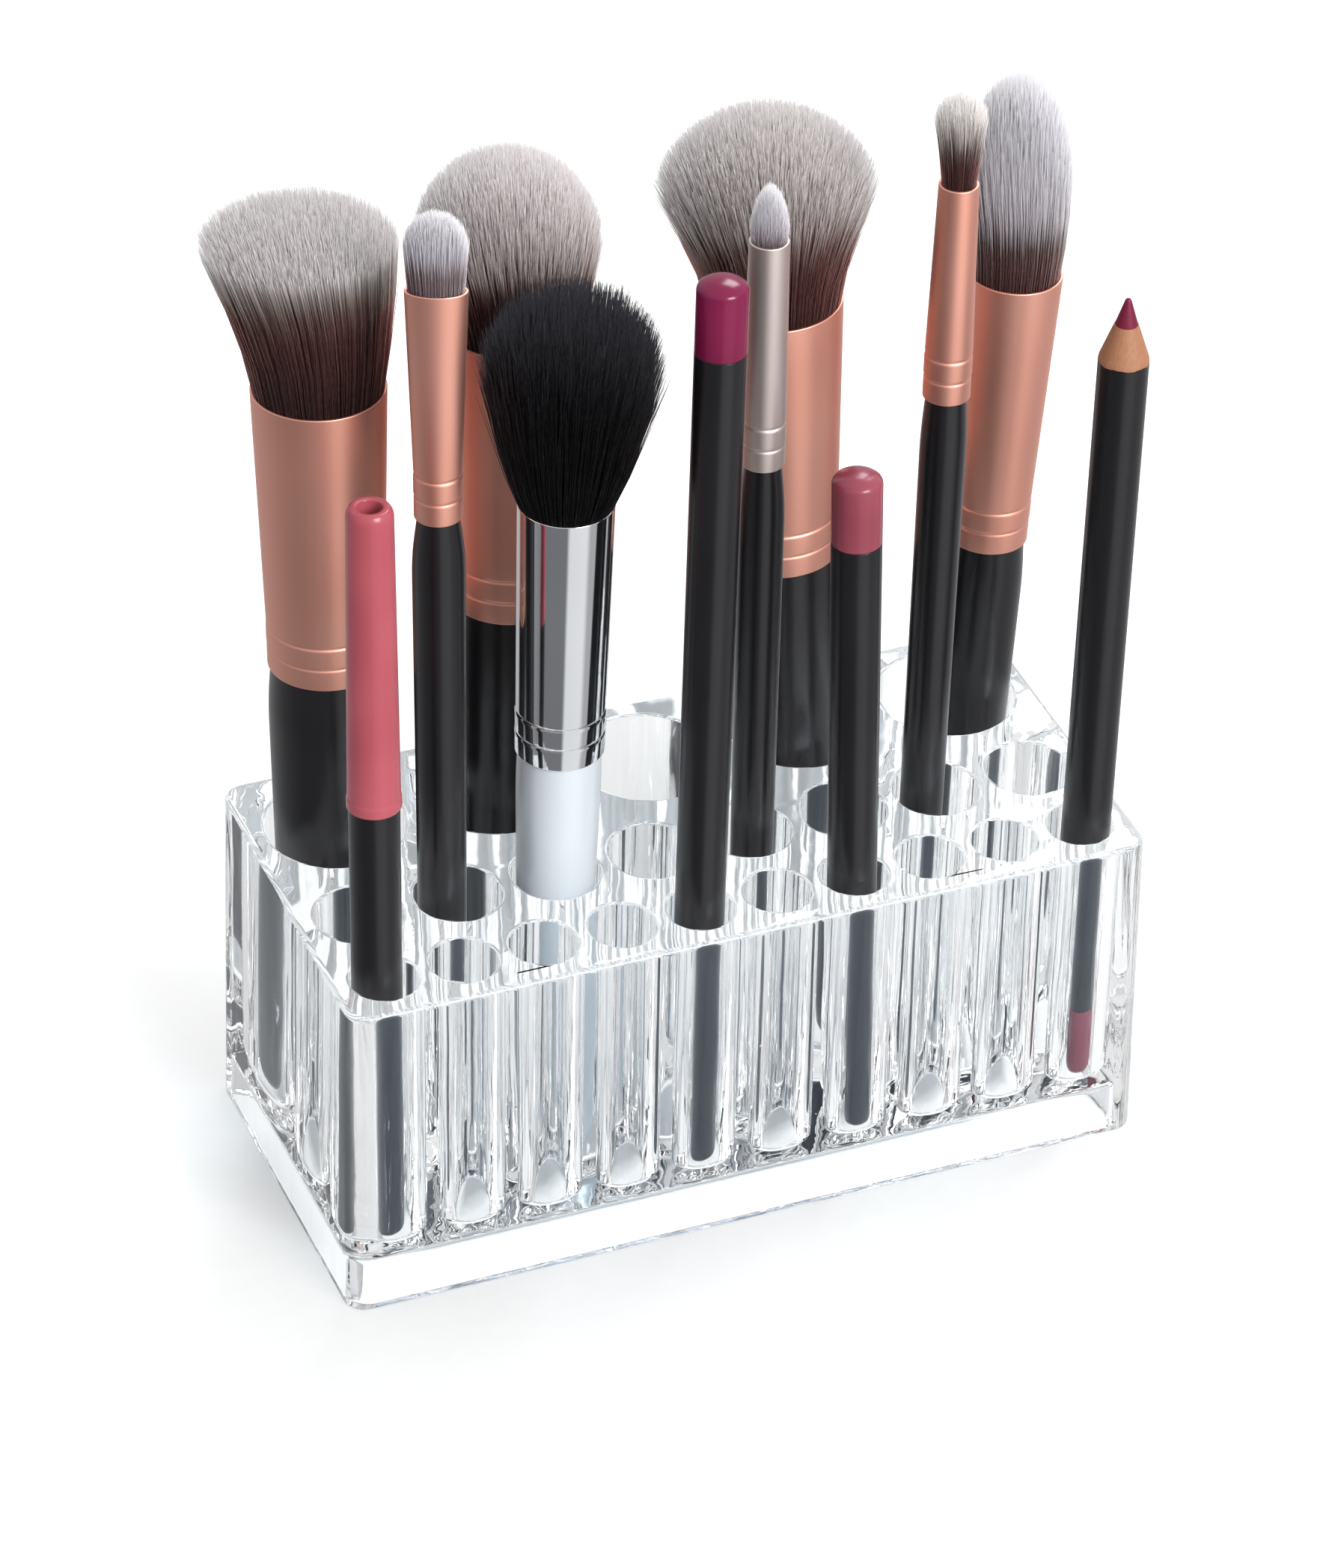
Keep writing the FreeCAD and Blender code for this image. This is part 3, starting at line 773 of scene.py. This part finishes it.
def ferrule_outline(rings):
    """Tube with a soft lower edge, two rounded grooves, the swelled band between them and a rolled mouth."""
    low_r, low_z = rings[0]
    groove_z, upper_z = rings[1][1], rings[3][1]
    mouth_r, mouth_z = rings[-1]
    groove_r, band_r = low_r - GROOVE_DEPTH, low_r + BAND_SWELL
    return [
        (low_r - WALL, low_z, 0.05), (low_r, low_z, 0.2),
        (low_r, groove_z - GROOVE_OUT, 0.2), (groove_r, groove_z, 0.15), (band_r, groove_z + GROOVE_IN, 0.25),
        (band_r, upper_z - GROOVE_IN, 0.25), (groove_r, upper_z, 0.15), (low_r, upper_z + GROOVE_OUT, 0.2),
        (mouth_r, mouth_z, 0.22), (mouth_r - WALL, mouth_z, 0.2),
        (mouth_r - WALL, mouth_z - MOUTH_L, 0.1), (low_r - WALL, upper_z, 0.1),
    ]


def flat_mouth(flat, round_z, mouth_z):
    """Gives a ferrule's depth over its width by height: round up to round_z, then blending to its mouth."""
    def share(height):
        t = min(max((height - round_z) / (mouth_z - round_z), 0), 1)
        return 1 + (flat - 1) * t * t * (3 - 2 * t)
    return share


bristles = tuft_tree()
for number, (name, own) in enumerate(BRUSHES.items()):
    brush = BRUSH | own
    flat, spin = brush["flat"], brush["spin"]
    place = standing_place(name, name + "_handle")
    handle_rings = cad_rings(name + "_handle", place)
    made = lathe(name + "_handle_turned", handle_outline(handle_rings), place, HANDLE_TURNS)
    show(made, name, MATERIALS[brush["handle"]], name + "_handle")

    ferrule_rings = cad_rings(name + "_ferrule", place)
    mouth_r, mouth_z = ferrule_rings[-1]
    oval = flat_mouth(flat, ferrule_rings[-2][1], mouth_z)
    outline = ferrule_outline(ferrule_rings)
    made = lathe(name + "_ferrule_drawn", outline, place, HANDLE_TURNS, oval, spin, True)
    show(made, name, MATERIALS[brush["ferrule"]], name + "_ferrule")

    hair_rings = cad_rings(name + "_hair", place)
    belly_r, belly_z = max(hair_rings)
    root_z = mouth_z - ROOT_L
    root_place = place @ Matrix.Translation((0, 0, root_z)) @ Matrix.Rotation(spin, 4, "Z")
    made = tuft(name + "_bristles", bristles, root_place, {
        "Strands": brush["strands"],
        "Seed": FIRST_SEED + SEED_STEP * number,
        "Root Radius": mouth_r - WALL - ROOT_PLAY,
        "Belly Radius": belly_r + brush["tip_spread"],
        "Belly Height": belly_z - root_z,
        "Length": hair_rings[-1][1] + brush["tip_reach"] - root_z,
        "Dome Power": brush["dome"],
        "Flank Power": brush["flank"],
        "Flat Share": flat,
        "Lean X": RIGHT.x * brush["lean"],
        "Lean Y": RIGHT.y * brush["lean"],
        "Strand Radius": brush["strand_d"] / 2,
        "Stray": brush["stray"],
        "Uneven": brush["uneven"],
        "Material": HAIRS[brush["hair"]],
    })
    show(made, name, HAIRS[brush["hair"]], name + "_hair")


# Pencils

PENCIL_ENDS = {
    "magenta_pencil": "magenta_end",
    "mauve_pencil": "mauve_end",
    "sharpened_pencil": "mauve_end",
    "capped_pencil": None,
}
# A ring this near to a barrel's greatest radius has its full width.
FULL_PLAY = 0.02
# Fine line between a barrel and its coloured end.
END_GAP = 0.05
# The lacquer stops this far below the wood cone's lower edge.
BARE_WOOD = 0.3
# Lead: length inside the wood, play in it, radius and height of the worn tip.
LEAD_ROOT, LEAD_PLAY, LEAD_TIP_R, LEAD_TIP_H = 2.0, 0.02, 0.45, 0.3
DOME_H, DOME_FLAT_R, DOME_FLAT_H = 1.5, 2.3, 0.4
CAP_BORE_R, CAP_BORE_L, CAP_LIP_H, CAP_STEP_Z, CAP_STEP = 3.35, 40.0, 1.6, 2.0, 0.15
CROWN_HOLE_R, CROWN_FLOOR_R, CROWN_HOLE_H = 1.9, 1.6, 3.0


def straight_end(rings):
    """Greatest radius of a barrel, and the height up to which it has that radius."""
    full_r = max(r for r, z in rings)
    return full_r, max(z for r, z in rings if r > full_r - FULL_PLAY)


def barrel_foot(rings, full_r):
    """Lower end of a barrel that stands on its lacquered foot."""
    return [(0, 0, 0), (rings[0][0], 0, 0.4), (full_r, rings[1][1], 0.6)]


def dipped_barrel(rings):
    """Barrel with a square upper end, under a coloured end."""
    full_r, side_z = straight_end(rings)
    upper_z = side_z - END_GAP
    return barrel_foot(rings, full_r) + [(full_r, upper_z, 0.12), (full_r - 0.4, upper_z, 0), (0, upper_z, 0)]


def sharpened_barrel(rings, lead_r):
    """Barrel with a wood cone above and a coloured end below."""
    full_r, side_z = straight_end(rings)
    low_z, wood_z = rings[0][1], rings[-1][1]
    return [
        (0, low_z, 0), (full_r, low_z + END_GAP, 0.12), (full_r, side_z, 0.5),
        (lead_r, wood_z, 0), (0, wood_z, 0),
    ]


def capped_barrel(rings, lead_r):
    """Barrel with a shoulder for its cap, a neck and a wood cone."""
    full_r, side_z = straight_end(rings)
    (neck_r, cone_z), (_, wood_z) = rings[-2:]
    return barrel_foot(rings, full_r) + [
        (full_r, side_z, 0.15), (neck_r, side_z, 0.1), (neck_r, cone_z, 0.3),
        (lead_r, wood_z, 0), (0, wood_z, 0),
    ]


def lead_outline(lead_r, wood_z, tip_z):
    """Sharpened lead with a slightly worn tip."""
    radius, low_z = lead_r - LEAD_PLAY, wood_z - LEAD_ROOT
    return [
        (0, low_z, 0), (radius, low_z, 0), (radius, wood_z - 0.2, 0.6),
        (LEAD_TIP_R, tip_z - LEAD_TIP_H, 0.5), (0, tip_z, 0),
    ]


def lower_end(full_r, low_z, barrel_z):
    """Coloured end on which a sharpened pencil stands."""
    upper_z = barrel_z - END_GAP
    return [
        (0, low_z, 0), (full_r - 0.5, low_z, 0.4), (full_r, low_z + 0.9, 0.5),
        (full_r, upper_z, 0.12), (0, upper_z, 0),
    ]


def domed_end(full_r, side_z, crown_z):
    """Coloured end that a pencil shows at its top."""
    return [
        (0, side_z, 0), (full_r, side_z, 0.12), (full_r, crown_z - DOME_H, 0.7),
        (DOME_FLAT_R, crown_z - DOME_FLAT_H, 1.6), (0, crown_z, 0),
    ]


def cap_outline(rings):
    """Pull-off cap: a blind bore, a lip at its mouth and a hole in its crown."""
    (mouth_r, mouth_z), (top_r, chamfer_z), (crown_r, crown_z) = rings[0], rings[-2], rings[-1]
    bore_z, hole_z = mouth_z + CAP_BORE_L, crown_z - CROWN_HOLE_H
    return [
        (0, bore_z, 0), (CAP_BORE_R, bore_z, 1.0), (CAP_BORE_R, mouth_z, 0.1),
        (mouth_r, mouth_z, 0.25), (mouth_r, mouth_z + CAP_LIP_H, 0.3),
        (mouth_r - CAP_STEP, mouth_z + CAP_STEP_Z, 0.3),
        (top_r, chamfer_z - 0.4, 0.8), (crown_r, crown_z, 0.4),
        (CROWN_HOLE_R, crown_z, 0.35), (CROWN_FLOOR_R, hole_z, 0.4), (0, hole_z, 0),
    ]


for name, end_slot in PENCIL_ENDS.items():
    sharpened, capped = name == "sharpened_pencil", name == "capped_pencil"
    place = standing_place(name, name + ("_end" if sharpened else "_barrel"))
    rings = cad_rings(name + "_barrel", place)
    full_r, side_z = straight_end(rings)
    if sharpened or capped:
        lead_rings = cad_rings(name + "_lead", place)
        lead_r, tip_z = lead_rings[1][0], lead_rings[-1][1]
        outline = sharpened_barrel(rings, lead_r) if sharpened else capped_barrel(rings, lead_r)
        cone_z = side_z if sharpened else rings[-2][1]
        look = pointed_pencil(name + "_lacquer_and_wood", cone_z - BARE_WOOD)
        made = lathe(name + "_lead_sharpened", lead_outline(lead_r, rings[-1][1], tip_z), place)
        show(made, name, MATERIALS["cosmetic_lead"], name + "_lead")
    else:
        outline = dipped_barrel(rings)
        look = MATERIALS["black_lacquer"]
    made = lathe(name + "_barrel_turned", outline, place)
    show(made, name, look, name + "_barrel")
    if capped:
        made = lathe(name + "_cap_moulded", cap_outline(cad_rings(name + "_cap", place)), place)
        show(made, "pencil_cap", MATERIALS["rose_cap"], name + "_cap")
    else:
        end_rings = cad_rings(name + "_end", place)
        if sharpened:
            outline = lower_end(full_r, end_rings[0][1], rings[0][1])
        else:
            outline = domed_end(full_r, side_z, end_rings[-1][1])
        made = lathe(name + "_end_dipped", outline, place)
        show(made, name, MATERIALS[end_slot], name + "_end")

show(clear_block(), "holder", MATERIALS["clear_acrylic"], "holder_block")


# Stage, light and camera

TABLE_HALF, TABLE_Z = 3.0, -0.2 * MM
# How far in from the rim, in mm, the strip of painted light under the block is full and where it is gone.
PAINTED_LIGHT_FULL, PAINTED_LIGHT_GONE = 12, 18
# How bright the table looks through the block, as a share of its glow, and what the strip of painted light
# adds.
THROUGH_BLOCK, PAINTED_LIGHT_EXTRA = 0.9, 2.3
# Painted glow of the table at the rim and away from it, and the distance in mm over which it grows. The
# weaker glow near the block lets its cast shadow show, and the stronger glow further out washes shadows away.
GLOW_NEAR, GLOW_FAR, GLOW_REACH = 0.28, 0.55, 80
# Walls of the mirrored room by bearing, with the front at 0.5.
ROOM_WALLS = [
    (0.0, "#c4c6c8"), (0.12, "#c0c1c3"), (0.2, "#a6a7a9"), (0.3, "#808184"), (0.45, "#828386"),
    (0.47, "#f8f9fa"), (0.58, "#ffffff"), (0.61, "#bcbdbf"), (0.75, "#bcbdc0"), (0.85, "#e0e1e3"),
    (1.0, "#c4c6c8"),
]
# Upward share of a direction at which the walls start to turn white, and at which they are.
WALLS_TOP, OVERHEAD = 0.05, 0.5
# What soft light loses of the strength of the white surroundings.
SOFT_LOSS = 0.25
CAMERA_PLACE = (-0.301164, -0.700932, 0.589567)
CAMERA_LENS, CAMERA_SENSOR = 135.366, 36.0


def stage_floor():
    """White table with a painted glow that is weakest at the block's rim and grows away from it, so the soft
    shadow shows near the block and is washed out further away. Under the block, a strip of painted light
    along the inside of the rim stands in for light that the clear block gathers."""
    mesh = bpy.data.meshes.new("white_table")
    corners = [(-1, -1), (1, -1), (1, 1), (-1, 1)]
    mesh.from_pydata([(x * TABLE_HALF, y * TABLE_HALF, TABLE_Z) for x, y in corners], [], [(0, 1, 2, 3)])
    made, tree, shader = material("white_table_paper")
    where = node(tree, SPLIT, [node(tree, "ShaderNodeTexCoord").outputs["Object"]]).outputs
    aside = node(tree, MATH, [where["X"]], operation="ABSOLUTE")
    aside = node(tree, MATH, [aside, (BLOCK_W / 2 - SKIRT) * MM], operation="SUBTRACT")
    deep = node(tree, MATH, [where["Y"], BLOCK_Y * MM], operation="SUBTRACT")
    deep = node(tree, MATH, [deep], operation="ABSOLUTE")
    deep = node(tree, MATH, [deep, (BLOCK_D / 2 - SKIRT) * MM], operation="SUBTRACT")
    edge = node(tree, MATH, [aside, deep], operation="MAXIMUM")
    # Painted light: a bright strip on the table inside the block's rim, seen only through the block, stands
    # in for light that the block gathers.
    painted_light_strip = node(tree, RANGE, {"Value": edge, "From Min": -PAINTED_LIGHT_GONE * MM, "From Max": -PAINTED_LIGHT_FULL * MM})
    inside = node(tree, MATH, [edge, 0.0], operation="LESS_THAN")
    under = node(tree, MATH, [painted_light_strip, inside], operation="MULTIPLY")
    bright = node(tree, MATH, [under, PAINTED_LIGHT_EXTRA, THROUGH_BLOCK], operation="MULTIPLY_ADD")
    rays = node(tree, "ShaderNodeLightPath").outputs
    seen = [rays["Is Transmission Ray"], bright, rays["Is Camera Ray"]]
    seen = node(tree, MATH, seen, operation="MULTIPLY_ADD")
    # Painted light: the table's glow grows away from the block's rim, which washes out cast shadows beyond
    # the block and leaves them only near it.
    glow = node(tree, RANGE, {
        "Value": edge,
        "From Min": 0.0,
        "From Max": GLOW_REACH * MM,
        "To Min": GLOW_NEAR,
        "To Max": GLOW_FAR,
    })
    feed(tree, shader, {
        "Base Color": toned(tree, "#babcbc", "#c0c0c0", 4.0),
        "Roughness": 0.9,
        "Emission Color": "#ffffff",
        "Emission Strength": node(tree, MATH, [seen, glow], operation="MULTIPLY"),
    })
    mesh.materials.append(made)
    floor = bpy.data.objects.new("white_table", mesh)
    scene.collection.objects.link(floor)
    floor.visible_glossy = False


def studio():
    """White surroundings for the eye and for soft light. Mirrored and refracted rays see a room by
    direction: a bright front with a dark zone on its left and a grey one on its right, white overhead."""
    world = bpy.data.worlds.new("white_studio")
    world.use_nodes = True
    scene.world = world
    tree = world.node_tree
    way = node(tree, SPLIT, [node(tree, "ShaderNodeTexCoord").outputs["Generated"]]).outputs
    ahead = node(tree, MATH, [way["Y"], -1.0], operation="MULTIPLY")
    bearing = node(tree, MATH, [way["X"], ahead], operation="ARCTAN2")
    bearing = node(tree, MATH, [bearing, math.tau], operation="DIVIDE")
    bearing = node(tree, MATH, [bearing, 0.5], operation="ADD")
    walls = node(tree, RAMP, [bearing], ROOM_WALLS)
    high = node(tree, RANGE, {"Value": way["Z"], "From Min": WALLS_TOP, "From Max": OVERHEAD})
    tones = {"Factor": high, COLOUR_A: walls, COLOUR_B: "#ffffff"}
    room = node(tree, MIX, tones, data_type="RGBA").outputs[COLOUR_OUT]
    rays = node(tree, "ShaderNodeLightPath").outputs
    plain = node(tree, MATH, [rays["Is Camera Ray"], rays["Is Diffuse Ray"]], operation="MAXIMUM")
    tones = {"Factor": plain, COLOUR_A: room, COLOUR_B: "#ffffff"}
    feed(tree, tree.nodes["Background"], {
        "Color": node(tree, MIX, tones, data_type="RGBA").outputs[COLOUR_OUT],
        "Strength": node(tree, MATH, [rays["Is Diffuse Ray"], -SOFT_LOSS, 1.0], operation="MULTIPLY_ADD"),
    })


def softbox(name, place, target, side, power):
    """Square white lamp that faces a target."""
    data = bpy.data.lights.new(name, "AREA")
    data.shape = "RECTANGLE"
    data.size, data.size_y = side, side
    data.energy = power
    made = bpy.data.objects.new(name, data)
    made.location = place
    made.rotation_euler = (Vector(target) - Vector(place)).to_track_quat("-Z", "Y").to_euler()
    scene.collection.objects.link(made)


def camera():
    """Camera at the photograph's viewing angle, fitted to the block's edges and bore rims."""
    back = Vector((-math.sin(YAW) * math.cos(PITCH), -math.cos(YAW) * math.cos(PITCH), math.sin(PITCH)))
    up = back.cross(RIGHT)
    right = math.cos(ROLL) * RIGHT + math.sin(ROLL) * up
    up = back.cross(right)
    data = bpy.data.cameras.new("photo_camera")
    data.lens = CAMERA_LENS
    data.sensor_width = CAMERA_SENSOR
    made = bpy.data.objects.new("photo_camera", data)
    turn = Matrix((right, up, back)).transposed().to_4x4()
    made.matrix_world = Matrix.Translation(CAMERA_PLACE) @ turn
    scene.collection.objects.link(made)
    scene.camera = made


stage_floor()
studio()
softbox("key_softbox", (1.0, 0.95, 1.7), (0, 0, 0.08), 0.9, 29.0)
softbox("front_softbox", (0.55, -1.7, 1.15), (0, 0, 0.1), 0.9, 52.0)
camera()

scene.view_settings.view_transform = "Standard"
scene.cycles.max_bounces = 32
scene.cycles.transmission_bounces = 32
scene.cycles.glossy_bounces = 12
scene.cycles.transparent_max_bounces = 16
